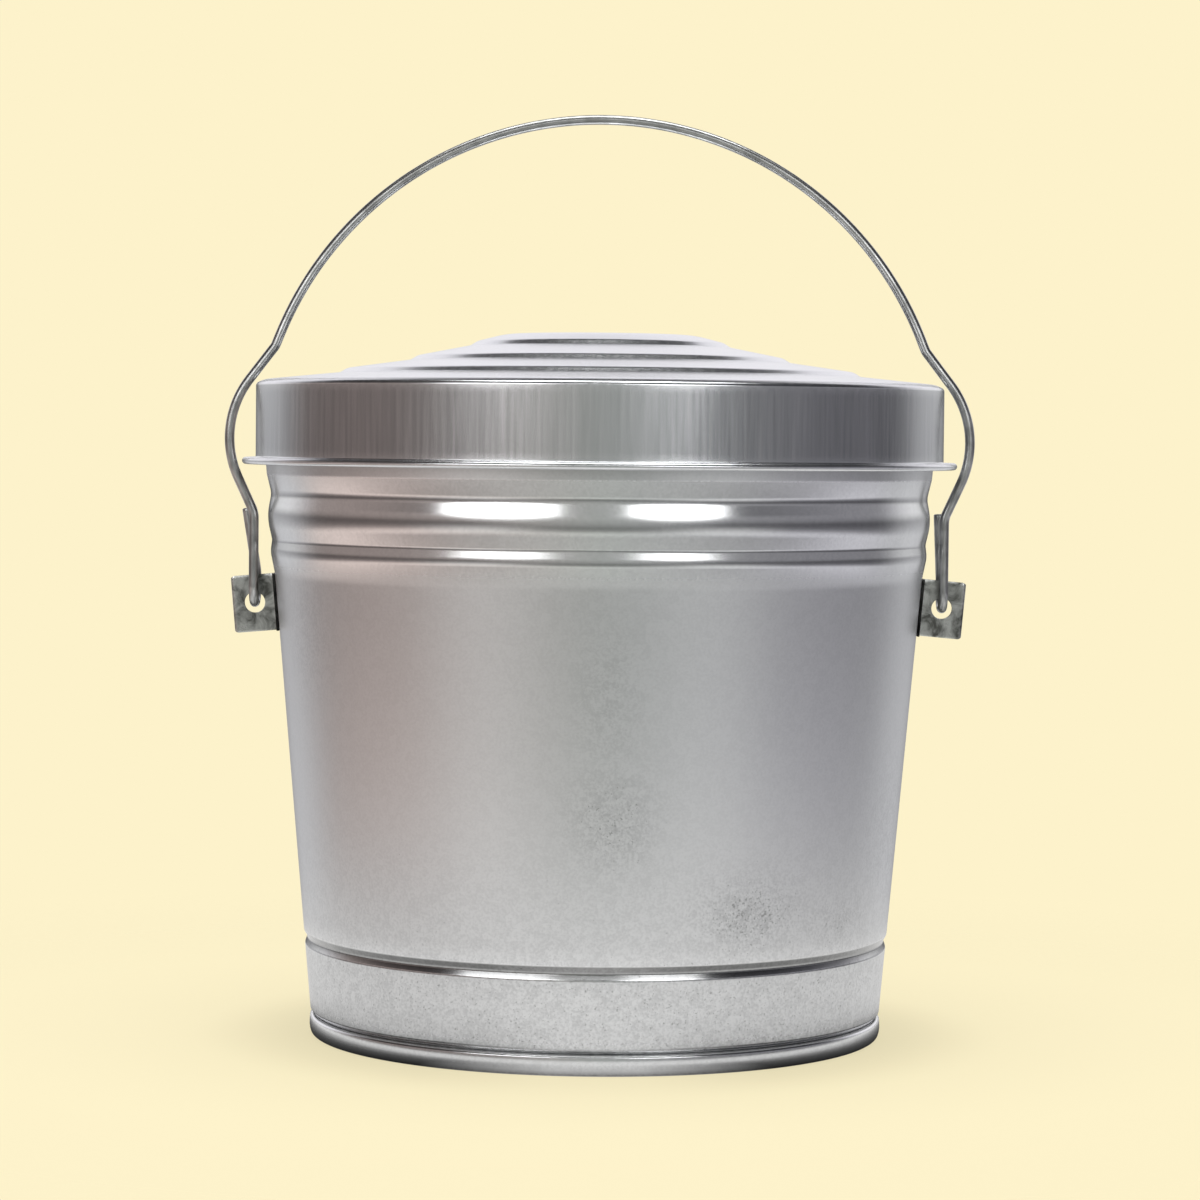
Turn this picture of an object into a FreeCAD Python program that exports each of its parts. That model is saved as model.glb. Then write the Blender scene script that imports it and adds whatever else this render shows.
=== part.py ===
import FreeCAD, Part
import math
import os

from FreeCAD import Vector

# A galvanised steel storage can with a stepped lid and a wire bail that locks over the lid.
# Millimetres. The can stands on z = 0, its axis is Z, the ears lie on X and the side seam is at the back, +Y.

# Sheet, wire and the room between pieces
sheet_thickness = 0.7
fold_gap = 0.1
running_gap = 0.3
touch_distance = 1e-6

# Wall: a cone that widens upwards to an upright neck, measured outside; drops are below the rim's top
base_radius = 132.9
neck_radius = 156.3
rim_top_height = 304.4
neck_drop = 36.0
rim_wire_diameter = 2.0
rim_wire_gap = 0.4

# Swages rolled into the wall: a groove near the foot, and a small bead, a large bead and a groove above
low_groove_height = 45.9
low_groove_half_width = 3.2
low_groove_depth = 1.5
low_groove_radius = 2.4
high_groove_drop = 51.4
high_groove_half_width = 9.0
high_groove_depth = 1.4
high_groove_radius = 6.0
large_bead_width = 21.6
large_bead_rise = 1.5
large_bead_radius = 16.0
valley_radius = 3.5
small_bead_width = 11.9
small_bead_rise = 1.2
small_bead_radius = 12.0
blend_radius = 8.0

# Lock seam of the wall, a flat ridge up the back
seam_width = 8.0
seam_rise = 0.9
seam_end_margin = 2.5

# Bottom pan and the double seam that folds it onto the wall, which is also the foot
foot_stand_out = 1.4
foot_seam_height = 9.4
foot_bend_radius = 1.1
foot_neck_height = 2.6
foot_neck_radius = 0.9
floor_height = 20.0
floor_corner_radius = 5.0

# Lid: crown, three bands that each end in a rolled step, a shoulder, a skirt and a curled flange
lid_clearance = 0.5
crown_flat_radius = 44.0
crown_blend_radius = 40.0
crown_rise = 5.6
inner_step_radius = 61.0
inner_band_rise = 7.0
middle_step_radius = 89.0
middle_band_rise = 6.3
outer_step_radius = 122.0
outer_band_rise = 5.1
step_roll_width = 4.0
step_roll_drop = 1.9
step_roll_radius = 11.0
step_crease_radius = 1.2
shoulder_width = 4.0
shoulder_angle = 22.0
shoulder_radius = 1.65
skirt_depth = 35.9
flange_reach = 6.3
flange_depth = 3.2
flange_bend_radius = 1.0

# Ears: a steel strap folded double, with two feet spread along the wall
ear_strap_thickness = 1.2
ear_fold_gap = 0.2
ear_height = 26.7
ear_reach = 21.4
ear_foot_length = 14.0
ear_foot_bend_radius = 1.3
ear_corner_radius = 1.2
ear_seat_gap = 0.05
ear_bead_margin = 4.2
ear_hole_diameter = 9.8
ear_hole_offset = 11.0
ear_hole_to_top = 13.0

# Bail: one wire, an arch over the lid, a kink and a bow past the lid's edge, and a hairpin in each ear
bail_wire_diameter = 4.5
bail_lid_gap = 1.5
grip_rise = 99.7
arch_margin = 0.4
arch_end_angle = 22.0
kink_radius = 7.0
lock_run_angle = 37.5
bow_radius = 45.0
return_run_angle = 24.7
leg_rise = 34.2
leg_bend_radius = 12.0
hairpin_clearance = 1.15
stub_rise = 36.0
stub_bend_rise = 6.0
stub_bend_radius = 30.0
left_stub_angle = 9.0
right_stub_angle = -2.5

# Worked out from the above
full_turn_angle = 360.0
axis_point = Vector(0, 0, 0)
axis_direction = Vector(0, 0, 1)
half_sheet = sheet_thickness / 2
layer_pitch = sheet_thickness + fold_gap

neck_height = rim_top_height - neck_drop
high_groove_height = rim_top_height - high_groove_drop
valley_height = high_groove_height - large_bead_width
bead_start_height = valley_height - small_bead_width
taper = (neck_radius - base_radius) / neck_height
taper_angle = math.atan(taper)

rim_curl_radius = rim_wire_diameter / 2 + rim_wire_gap + half_sheet
neck_middle = neck_radius - half_sheet
rim_curl_middle = neck_middle + rim_curl_radius
rim_curl_height = rim_top_height - half_sheet - rim_curl_radius

lid_inner_radius = rim_curl_middle + rim_curl_radius + half_sheet + lid_clearance
lid_radius = lid_inner_radius + sheet_thickness
lid_middle_radius = lid_radius - half_sheet

bail_wire_radius = bail_wire_diameter / 2
hairpin_radius = (ear_hole_to_top + bail_wire_radius + hairpin_clearance) / 2
plate_half_gap = (ear_strap_thickness + ear_fold_gap) / 2
ear_hole_up = ear_height - ear_hole_to_top
ear_wall_height = bead_start_height - ear_bead_margin - ear_hole_to_top * math.cos(taper_angle)
ear_hole_height = ear_wall_height - ear_hole_offset * math.sin(taper_angle)


def cone_radius(height):
    """Outer radius of the plain cone at a height."""
    return base_radius + taper * height


def on_cone(height, rise=0.0):
    """Point in the middle of the wall's sheet, a rise out of the cone at a height."""
    return (cone_radius(height) - half_sheet + rise, height)


def corner_arc(before, corner, after, radius):
    """Start, middle and end of the arc of a radius that rounds a corner, and its centre."""
    into = (corner - before).normalize()
    out = (after - corner).normalize()
    half_angle = into.getAngle(out) / 2
    length = radius * math.tan(half_angle)
    inward = (out - into).normalize()
    centre = corner + inward * (radius / math.cos(half_angle))
    return corner - into * length, centre - inward * radius, corner + out * length, centre


def rounded_path(points, radii):
    """Edges of straight runs and tangent arcs through points, with a radius for each inner point."""
    edges = []
    here = points[0]
    for before, corner, after, radius in zip(points, points[1:], points[2:], radii):
        start, middle, end, _ = corner_arc(before, corner, after, radius)
        if (start - here).Length > touch_distance:
            edges.append(Part.LineSegment(here, start).toShape())
        edges.append(Part.Arc(start, middle, end).toShape())
        here = end
    edges.append(Part.LineSegment(here, points[-1]).toShape())
    return edges


def left_side(points, radii, offset):
    """Edges of a rounded path of the XZ plane, moved to its left, with the arcs kept about their centres."""
    def left_of(start, end):
        along = (end - start).normalize()
        return Vector(-along.z, 0, along.x) * offset

    edges = []
    here = points[0] + left_of(points[0], points[1])
    for before, corner, after, radius in zip(points, points[1:], points[2:], radii):
        start, middle, end, centre = corner_arc(before, corner, after, radius)
        start = start + left_of(before, corner)
        end = end + left_of(corner, after)
        middle = centre + (middle - centre).normalize() * (start - centre).Length
        if (start - here).Length > touch_distance:
            edges.append(Part.LineSegment(here, start).toShape())
        edges.append(Part.Arc(start, middle, end).toShape())
        here = end
    edges.append(Part.LineSegment(here, points[-1] + left_of(points[-2], points[-1])).toShape())
    return edges


def sheet_face(points, radii, left, right):
    """Section of a bent sheet in the XZ plane: a rounded path made as thick as left and right of it."""
    path = [Vector(x, 0, z) for x, z in points]
    one_side = left_side(path, radii, left)
    other_side = left_side(path[::-1], radii[::-1], right)
    end_cap = Part.LineSegment(one_side[-1].lastVertex(True).Point, other_side[0].firstVertex(True).Point)
    start_cap = Part.LineSegment(other_side[-1].lastVertex(True).Point, one_side[0].firstVertex(True).Point)
    return Part.Face(Part.Wire(one_side + [end_cap.toShape()] + other_side + [start_cap.toShape()]))


def spun(face, angle=full_turn_angle):
    """Solid that a section of the XZ plane makes as it turns about the can's axis."""
    return face.revolve(axis_point, axis_direction, angle)


# The double seam at the foot: five upright layers, counted from the inside
seam_layer_count = 5
foot_middle = base_radius + foot_stand_out - half_sheet
seam_layers = [foot_middle - layer * layer_pitch for layer in reversed(range(seam_layer_count))]
pan_inside, wall_inside, pan_hook, wall_hook, pan_outside = seam_layers
foot_low = half_sheet
wall_fold_low = foot_low + layer_pitch
pan_fold_high = foot_seam_height - half_sheet
neck_low = foot_seam_height + half_sheet
neck_high = neck_low + foot_neck_height

# The middle of the wall's sheet between its two ends, from the foot seam to the neck
swage_points = [
    (wall_inside, neck_low),
    on_cone(neck_high),
    on_cone(low_groove_height - low_groove_half_width),
    on_cone(low_groove_height, -low_groove_depth),
    on_cone(low_groove_height + low_groove_half_width),
    on_cone(bead_start_height),
    on_cone(valley_height - small_bead_width / 2, small_bead_rise),
    on_cone(valley_height),
    on_cone(valley_height + large_bead_width / 2, large_bead_rise),
    on_cone(high_groove_height, -high_groove_depth),
    on_cone(high_groove_height + high_groove_half_width),
    on_cone(neck_height),
]
swage_radii = [
    foot_neck_radius,
    foot_neck_radius,
    low_groove_radius,
    low_groove_radius,
    low_groove_radius,
    blend_radius,
    small_bead_radius,
    valley_radius,
    large_bead_radius,
    high_groove_radius,
    blend_radius,
    blend_radius,
]


def can_wall():
    """Tapered wall: a hook in the foot seam, the swages, the neck, the rim curl and the side seam."""
    curl_top = rim_curl_height + rim_curl_radius
    curl_bottom = rim_curl_height - rim_curl_radius
    curl_outside = neck_middle + 2 * rim_curl_radius
    hook_points = [
        (wall_hook, pan_fold_high - layer_pitch - fold_gap),
        (wall_hook, wall_fold_low),
        (wall_inside, wall_fold_low),
    ]
    curl_points = [
        (neck_middle, curl_top),
        (curl_outside, curl_top),
        (curl_outside, curl_bottom),
        (neck_radius + fold_gap, curl_bottom),
    ]
    points = hook_points + swage_points + curl_points
    radii = [layer_pitch] * 2 + swage_radii + [rim_curl_radius] * 3
    wall = spun(sheet_face(points, radii, half_sheet, half_sheet))
    return wall.fuse(side_seam()).removeSplitter()


def side_seam():
    """Ridge of folded sheet up the back of the wall, over its swages."""
    low = on_cone(neck_high + seam_end_margin)
    high = on_cone(neck_height - seam_end_margin)
    ridge = sheet_face([low] + swage_points[2:-1] + [high], swage_radii[2:-1], 0, half_sheet + seam_rise)
    angle = math.degrees(seam_width / neck_radius)
    strip = spun(ridge, angle)
    strip.rotate(axis_point, axis_direction, full_turn_angle / 4 - angle / 2)
    return strip


def rim_wire():
    """Wire ring inside the rim curl."""
    middle = Vector(rim_curl_middle, 0, rim_curl_height)
    ring = Part.makeCircle(rim_wire_diameter / 2, middle, Vector(0, 1, 0))
    return spun(Part.Face(Part.Wire(ring)))


def bottom_pan():
    """Raised floor with an upright edge, folded round the wall's hook at the foot."""
    floor_middle = floor_height - half_sheet
    points = [
        (0, floor_middle),
        (pan_inside, floor_middle),
        (pan_inside, foot_low),
        (pan_outside, foot_low),
        (pan_outside, pan_fold_high),
        (pan_hook, pan_fold_high),
        (pan_hook, wall_fold_low + layer_pitch + fold_gap),
    ]
    radii = [floor_corner_radius, foot_bend_radius, foot_bend_radius, layer_pitch, layer_pitch]
    return spun(sheet_face(points, radii, half_sheet, half_sheet))


# The lid's shoulder lies a running gap over the rim curl, measured square to its slope
shoulder_lean = math.radians(shoulder_angle)
shoulder_stand_off = rim_curl_radius + half_sheet + running_gap + half_sheet
shoulder_height = (
    rim_curl_height
    + shoulder_stand_off / math.cos(shoulder_lean)
    - (lid_middle_radius - rim_curl_middle) * math.tan(shoulder_lean)
)
shoulder_half_turn = math.pi / 4 - shoulder_lean / 2
shoulder_round_height = shoulder_height - shoulder_radius * math.tan(shoulder_half_turn)
crown_height = shoulder_height + outer_band_rise + middle_band_rise + inner_band_rise + crown_rise
flange_height = shoulder_height - skirt_depth
lid_steps = (
    (inner_step_radius, crown_rise),
    (middle_step_radius, inner_band_rise),
    (outer_step_radius, middle_band_rise),
)


def lid_cover():
    """One drawn sheet: stepped panel, shoulder, skirt and a flange curled back under itself."""
    points = [(0, crown_height), (crown_flat_radius, crown_height)]
    radii = [crown_blend_radius]
    height = crown_height
    for step_radius, drop in lid_steps:
        height = height - drop
        points.append((step_radius - step_roll_width, height + step_roll_drop))
        points.append((step_radius, height))
        radii += [step_roll_radius, step_crease_radius]
    shoulder_rise = shoulder_width * math.tan(shoulder_lean)
    flange_top = flange_height + flange_depth / 2 - half_sheet
    flange_bottom = flange_height - flange_depth / 2 + half_sheet
    flange_outside = lid_radius + flange_reach - half_sheet
    curl_radius = (flange_top - flange_bottom) / 2
    points += [
        (lid_middle_radius - shoulder_width, shoulder_height + shoulder_rise),
        (lid_middle_radius, shoulder_height),
        (lid_middle_radius, flange_top),
        (flange_outside, flange_top),
        (flange_outside, flange_bottom),
        (lid_radius, flange_bottom),
    ]
    radii += [step_roll_radius, shoulder_radius, flange_bend_radius, curl_radius, curl_radius]
    return spun(sheet_face(points, radii, half_sheet, half_sheet))


def ear(side):
    """Folded strap standing out square from the wall at X, with its two feet laid along the wall."""
    wall_curve_radius = cone_radius(ear_wall_height) / math.cos(taper_angle)
    foot_half_way = (plate_half_gap + ear_foot_length) / 2
    foot_angle = math.asin(foot_half_way / wall_curve_radius)
    foot_distance = wall_curve_radius + ear_seat_gap + ear_strap_thickness / 2

    def on_foot(across):
        reach = (foot_distance - across * math.sin(foot_angle)) / math.cos(foot_angle)
        return (reach - wall_curve_radius, across)

    tip = ear_reach - ear_strap_thickness / 2
    half_plan = [on_foot(ear_foot_length), on_foot(plate_half_gap), (tip, plate_half_gap)]
    other_half = [(reach, -across) for reach, across in reversed(half_plan)]
    radii = [ear_foot_bend_radius, plate_half_gap, plate_half_gap, ear_foot_bend_radius]
    half_strap = ear_strap_thickness / 2
    strap = sheet_face(half_plan + other_half, radii, half_strap, half_strap)
    body = strap.extrude(Vector(0, ear_height, 0))
    body = body.common(ear_outline())
    hole_depth = 2 * ear_foot_length
    hole_place = Vector(ear_hole_offset, ear_hole_up, -hole_depth / 2)
    hole = Part.makeCylinder(ear_hole_diameter / 2, hole_depth, hole_place, axis_direction)
    body = body.cut(hole)
    return stood_on_wall(body, side)


def ear_outline():
    """Side view of the ear as a deep block: square at the wall and rounded at both outer corners."""
    back = -ear_strap_thickness
    corners = [
        Vector(back, 0, -ear_foot_length),
        Vector(ear_reach, 0, -ear_foot_length),
        Vector(ear_reach, ear_height, -ear_foot_length),
        Vector(back, ear_height, -ear_foot_length),
    ]
    edges = rounded_path(corners, [ear_corner_radius] * 2)
    closing = Part.LineSegment(corners[-1], corners[0]).toShape()
    return Part.Face(Part.Wire(edges + [closing])).extrude(Vector(0, 0, 2 * ear_foot_length))


def stood_on_wall(body, side):
    """Turns an ear from its own plan, out, up and across, to its place on the wall at +X or -X."""
    out = Vector(side * math.cos(taper_angle), 0, -math.sin(taper_angle))
    up = Vector(side * math.sin(taper_angle), 0, math.cos(taper_angle))
    across = out.cross(up)
    seat = Vector(side * cone_radius(ear_wall_height), 0, ear_wall_height)
    corner = seat - up * ear_hole_up
    body.Placement = FreeCAD.Placement(corner, FreeCAD.Rotation(out, up, across, "XYZ"))
    return body


# The bail's line on one side, from the leg at the ear hole to the arch
leg_reach = cone_radius(ear_wall_height) + ear_hole_offset * math.cos(taper_angle)
hinge_height = ear_hole_height + hairpin_radius
arch_radius = lid_radius + arch_margin
arch_height = crown_height + half_sheet + grip_rise


def crossing(start, lean, other, other_lean):
    """Where two lines of the XZ plane meet, each given by a point and its lean out from straight up."""
    slope = math.tan(math.radians(lean))
    other_slope = math.tan(math.radians(other_lean))
    rise = (other[0] - start[0] + other_slope * (start[1] - other[1])) / (slope - other_slope)
    return (start[0] + slope * rise, start[1] + rise)


def bail_side():
    """Corners of one side of the bail in its own plane: leg bend, bow, lock kink and top of the arch."""
    lean = math.radians(lock_run_angle)
    shoulder_round = lid_middle_radius - shoulder_radius
    off = shoulder_radius + half_sheet + bail_lid_gap + bail_wire_radius
    lock_point = (shoulder_round + off * math.cos(lean), shoulder_round_height + off * math.sin(lean))
    leg_bend = (leg_reach, hinge_height + leg_rise)
    bow = crossing(lock_point, -lock_run_angle, leg_bend, return_run_angle)
    turn = math.radians(full_turn_angle / 4 - arch_end_angle)
    arch_corner = (arch_radius * math.tan(turn / 2), arch_height)
    kink = crossing(lock_point, -lock_run_angle, arch_corner, -arch_end_angle)
    return [leg_bend, bow, kink, arch_corner]


def hairpin(side, stub_lean):
    """End of the wire at one ear: from the stub's tip behind it, down, through the hole and up in front."""
    lean = math.tan(math.radians(stub_lean))
    low = ear_hole_height
    stub_bend = hinge_height + stub_bend_rise
    stub_top = hinge_height + stub_rise
    reach = side * leg_reach
    return [
        Vector(reach - lean * (stub_top - stub_bend), hairpin_radius, stub_top),
        Vector(reach, hairpin_radius, stub_bend),
        Vector(reach, hairpin_radius, low),
        Vector(reach, -hairpin_radius, low),
    ]


def bail_wire():
    """One round wire from stub to stub."""
    half = bail_side()
    left = [Vector(-x, -hairpin_radius, z) for x, z in half]
    right = [Vector(x, -hairpin_radius, z) for x, z in reversed(half)]
    points = hairpin(-1, left_stub_angle) + left + right + hairpin(1, -right_stub_angle)[::-1]
    half_radii = [stub_bend_radius, hairpin_radius, hairpin_radius, leg_bend_radius, bow_radius, kink_radius]
    radii = half_radii + [arch_radius, arch_radius] + half_radii[::-1]
    path = Part.Wire(rounded_path(points, radii))
    along = (points[1] - points[0]).normalize()
    section = Part.Wire(Part.makeCircle(bail_wire_radius, points[0], along))
    wire = path.makePipeShell([section], True, False)
    print("bail wire", "length", round(path.Length, 2), "volume over section times length",
          round(wire.Volume / (math.pi * bail_wire_radius ** 2 * path.Length), 5))
    return wire


def main():
    nodes = {
        "can_wall": can_wall(),
        "rim_wire": rim_wire(),
        "bottom_pan": bottom_pan(),
        "left_ear": ear(-1),
        "right_ear": ear(1),
        "lid_cover": lid_cover(),
        "bail_wire": bail_wire(),
    }
    os.makedirs("parts", exist_ok=True)
    for name, shape in nodes.items():
        box = shape.optimalBoundingBox(False)
        print(name, "valid", shape.isValid(), "solids", len(shape.Solids), "volume", round(shape.Volume, 1),
              "x", round(box.XMin, 2), round(box.XMax, 2), "y", round(box.YMin, 2), round(box.YMax, 2),
              "z", round(box.ZMin, 2), round(box.ZMax, 2))
        shape.exportStep("parts/" + name + ".step")


main()
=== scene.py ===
# %% [markdown]
# # A galvanised storage can
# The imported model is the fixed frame, with every piece at its real size and place. Sheet metal shows every
# facet in its reflections, so each visible piece is made again as a finer surface on the same named sizes,
# and stands in for the frame's coarser solid.

# %% Load the frame
from functools import partial
from math import acos, asin, atan, ceil, cos, degrees, pi, radians, sin, tan

import bmesh
import bpy
import numpy as np
from mathutils import Matrix, Vector


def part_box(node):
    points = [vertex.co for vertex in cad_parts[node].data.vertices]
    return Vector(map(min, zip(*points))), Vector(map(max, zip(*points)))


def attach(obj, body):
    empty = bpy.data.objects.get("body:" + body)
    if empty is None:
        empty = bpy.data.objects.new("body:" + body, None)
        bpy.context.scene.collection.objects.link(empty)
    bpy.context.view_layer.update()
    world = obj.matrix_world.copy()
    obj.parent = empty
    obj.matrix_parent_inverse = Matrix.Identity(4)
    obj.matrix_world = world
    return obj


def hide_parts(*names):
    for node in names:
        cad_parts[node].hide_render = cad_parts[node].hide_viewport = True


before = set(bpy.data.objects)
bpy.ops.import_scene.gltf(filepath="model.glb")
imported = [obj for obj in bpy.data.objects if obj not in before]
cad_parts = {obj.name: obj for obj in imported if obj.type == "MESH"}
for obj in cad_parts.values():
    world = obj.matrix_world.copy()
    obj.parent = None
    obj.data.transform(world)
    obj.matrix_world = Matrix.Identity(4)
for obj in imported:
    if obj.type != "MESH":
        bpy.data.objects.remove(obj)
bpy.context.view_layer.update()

MM = 0.001
print("frame nodes:", sorted(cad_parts))

# %% [markdown]
# ## Paths and surfaces
# Sheet and wire make the whole can. A sheet piece could be drawn with curves and a lathe modifier, but a
# profile worked out from its bends is exact, and one grid function makes every shell. The pieces' sizes are
# in millimetres until they are put into a mesh.

# %% Path helpers
ARC_ERROR, HIDDEN_ARC_ERROR, HIDDEN_STEPS = 0.004, 0.03, 5
ROUNDING = 1e-6


def unit(vectors):
    """Each vector divided by its own length."""
    return vectors / np.linalg.norm(vectors, axis=-1, keepdims=True)


def rounded_path(corners, radii, run_step, arc_error=ARC_ERROR):
    """Points along straight runs, with each inner corner replaced by the arc that touches both of its runs.

    A point of an arc is its centre, less the cosine of an angle towards the corner, plus the sine along it.
    An arc has as many steps as keep its chords within arc_error of the true curve.
    """
    corners = np.asarray(corners, float)
    stretches = []
    here = corners[0]

    def add_run(end):
        count = ceil(np.linalg.norm(end - here) / run_step - ROUNDING)
        stretches.append(here + (end - here) * np.linspace(0, 1, count, endpoint=False)[:, None])

    for before, corner, after, radius in zip(corners, corners[1:], corners[2:], radii):
        into, out = unit(corner - before), unit(after - corner)
        turn = acos(np.clip(into @ out, -1, 1))
        reach = radius * tan(turn / 2)
        inward, along = unit(out - into), unit(out + into)
        centre = corner + inward * radius / cos(turn / 2)
        add_run(corner - into * reach)
        steps = max(2, ceil(turn / (2 * acos(1 - arc_error / radius))))
        angle = np.linspace(-turn / 2, turn / 2, steps, endpoint=False)[:, None]
        stretches.append(centre - inward * radius * np.cos(angle) + along * radius * np.sin(angle))
        here = corner + out * reach
    add_run(corners[-1])
    return np.vstack(stretches + [corners[-1:]])


def step_lengths(points):
    """Distance from each point of a path to the next."""
    return np.linalg.norm(np.diff(points, axis=0), axis=1)


def path_directions(points):
    """Direction at each point: the mean of the directions of the two steps that meet there."""
    steps = unit(np.diff(points, axis=0))
    return unit(np.vstack([steps[:1], steps[:-1] + steps[1:], steps[-1:]]))


def beside(path, distance):
    """A plane path moved sideways, to its right, by turning each direction a quarter turn."""
    direction = path_directions(path)
    return path + distance * np.column_stack([direction[:, 1], -direction[:, 0]])


def sheet_outline(bends, thickness, run_step, fine_side):
    """Closed outline of a bent sheet, half a thickness to both sides of its middle line.

    Bends are corners with their radii. The side that shows, 1 for right and -1 for left, has fine steps and
    comes first, and its number of points is given back too. The hidden side has coarse steps.
    """
    corners = [corner for corner, _ in bends]
    radii = [radius for _, radius in bends[1:-1]]
    shown = rounded_path(corners, radii, run_step)
    hidden = rounded_path(corners, radii, HIDDEN_STEPS * run_step, HIDDEN_ARC_ERROR)
    half = fine_side * thickness / 2
    return np.vstack([beside(shown, half), beside(hidden, -half)[::-1]]), len(shown)


def by_table(values, table):
    """Values read off a table of pairs in rising order, in straight lines between its rows."""
    places, results = zip(*table)
    return np.interp(values, places, results)


# %% Surface helpers
SAME_POINT, SHARP_BEND = 1e-4, 50.0
COLUMNS = 360
turn_angles = np.linspace(0, 2 * pi, COLUMNS, endpoint=False)


def grid_faces(rows, columns, wrap_rows, wrap_columns):
    """Corner numbers of the quads of a grid of points, closed in either direction where asked."""
    row = np.arange(rows if wrap_rows else rows - 1)[:, None]
    column = np.arange(columns if wrap_columns else columns - 1)[None, :]
    next_row, next_column = (row + 1) % rows, (column + 1) % columns
    corners = [row * columns + column, row * columns + next_column,
               next_row * columns + next_column, next_row * columns + column]
    return np.stack(np.broadcast_arrays(*corners), axis=-1).reshape(-1, 4)


def new_object(name, data):
    """Object at the origin, linked into the scene."""
    made = bpy.data.objects.new(name, data)
    bpy.context.scene.collection.objects.link(made)
    return made


def make_piece(name, points, faces, materials, marks=None, sharp_bend=SHARP_BEND):
    """Mesh object at the origin from points in mm, with named marks on its points for the finish to read.

    Doubles are merged, faces are turned outwards, and shading is smooth but for bends past sharp_bend.
    """
    mesh = bpy.data.meshes.new(name)
    mesh.from_pydata(points.reshape(-1, 3) * MM, [], faces)
    for label, values in (marks or {}).items():
        layer = mesh.attributes.new(label, "FLOAT", "POINT")
        layer.data.foreach_set("value", np.asarray(values, np.float32).ravel())
    shell = bmesh.new()
    shell.from_mesh(mesh)
    bmesh.ops.remove_doubles(shell, verts=shell.verts, dist=SAME_POINT * MM)
    bmesh.ops.recalc_face_normals(shell, faces=shell.faces)
    shell.to_mesh(mesh)
    shell.free()
    mesh.polygons.foreach_set("use_smooth", np.ones(len(mesh.polygons), bool))
    mesh.set_sharp_from_angle(angle=radians(sharp_bend))
    for material in materials:
        mesh.materials.append(material)
    piece = new_object(name, mesh)
    print(name, "has", len(mesh.vertices), "points and", len(mesh.polygons), "faces")
    return piece


def spun_piece(name, outline, angles, swell, finish, marks):
    """Surface of revolution: the outline's radius, plus a swell, times the cosine and sine of each angle.

    A mark has one value for each point of the outline, or one for each point of the whole grid.
    """
    shape = (len(outline), len(angles))
    radius = outline[:, :1] + swell
    height = np.broadcast_to(outline[:, 1:], shape)
    points = np.stack([radius * np.cos(angles), radius * np.sin(angles), height], axis=-1)
    spread = {label: np.broadcast_to(np.reshape(values, (len(outline), -1)), shape)
              for label, values in marks.items()}
    return make_piece(name, points, grid_faces(*shape, True, True), [finish], spread)


def stand_for(piece, node, body):
    """Finer piece in a frame node's place: rides on its body, hides the node, prints how far their boxes
    differ.
    """
    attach(piece, body)
    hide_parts(node)
    made = np.array(piece.bound_box)
    low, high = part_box(node)
    worst = max(np.abs(made.min(0) - low).max(), np.abs(made.max(0) - high).max())
    print(piece.name, "stands for", node, "and its box differs by", round(worst / MM, 2), "mm at most")


print("a full turn has", COLUMNS, "columns")

# %% [markdown]
# ## Finishes
# Hot-dip galvanised steel went through molten zinc, which freezes in patches, called spangle, each a crystal
# that throws light back a little differently. It is metal all over, so the shader is metallic, and the
# patches change its tone and roughness. Patterns are tied to the object, so they stay on a piece that moves.
# A Mix node's inputs go by number: 0 is its share, 2 and 3 are two plain values, and 6 and 7 two colours.

# %% Node helpers
def linear(hex_colour):
    """Linear RGBA of an sRGB hex colour."""
    share = np.array([int(hex_colour[i:i + 2], 16) for i in (1, 3, 5)]) / 255
    low, high = share / 12.92, ((share + 0.055) / 1.055) ** 2.4
    return (*np.where(share <= 0.04045, low, high).tolist(), 1.0)


def add_node(tree, kind, inputs=None, stops=(), **settings):
    """Adds one shader node, sets its properties and a ramp's stops, and fills its inputs.

    An input is given a value or an output to link to, and a node stands for its first output in use.
    """
    node = tree.nodes.new("ShaderNode" + kind)
    for name, value in settings.items():
        setattr(node, name, value)
    for number, (position, colour) in enumerate(stops):
        elements = node.color_ramp.elements
        element = elements[number] if number < len(elements) else elements.new(1.0)
        element.position, element.color = position, linear(colour)
    for name, value in (inputs or {}).items():
        if isinstance(value, bpy.types.Node):
            value = next(output for output in value.outputs if output.enabled)
        if isinstance(value, bpy.types.NodeSocket):
            tree.links.new(value, node.inputs[name])
        else:
            node.inputs[name].default_value = value
    return node


def new_material(name):
    """A node material, add_node for its tree, and the place on the object that its patterns read."""
    material = bpy.data.materials.new(name)
    material.use_nodes = True
    material.node_tree.nodes.clear()
    add = partial(add_node, material.node_tree)
    return material, add, add("TexCoord").outputs["Object"]


def per_metre(size_mm):
    """Texture scale at which one feature of a pattern is a size in millimetres."""
    return 1 / (size_mm * MM)


# %% Metal helpers
PATTERN_LOW, PATTERN_HIGH = 0.3, 0.7


def finish_metal(add, colour, roughness, height, relief):
    """Closes a metal finish: a faint relief, given as strength and depth in mm, the shader and the output."""
    strength, depth = relief
    bump = add("Bump", {"Height": height, "Strength": strength, "Distance": depth * MM})
    shader = add("BsdfPrincipled",
                 {"Base Color": colour, "Metallic": 1.0, "Roughness": roughness, "Normal": bump})
    add("OutputMaterial", {"Surface": shader})


def two_toned_metal(add, pattern, tones, spread, rough, relief):
    """Metal whose colour and roughness follow one pattern, each in a straight line between two values.

    Tones and rough give the values for a low and a high reading, and spread says where the tones end.
    """
    share = add("MapRange", {"Value": pattern, "From Min": spread[0], "From Max": spread[1]})
    colour = add("Mix", {0: share, 6: linear(tones[0]), 7: linear(tones[1])}, data_type="RGBA")
    roughness = add("MapRange", {"Value": pattern, "From Min": PATTERN_LOW, "From Max": PATTERN_HIGH,
                                 "To Min": rough[0], "To Max": rough[1]})
    finish_metal(add, colour, roughness, pattern, relief)
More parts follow.
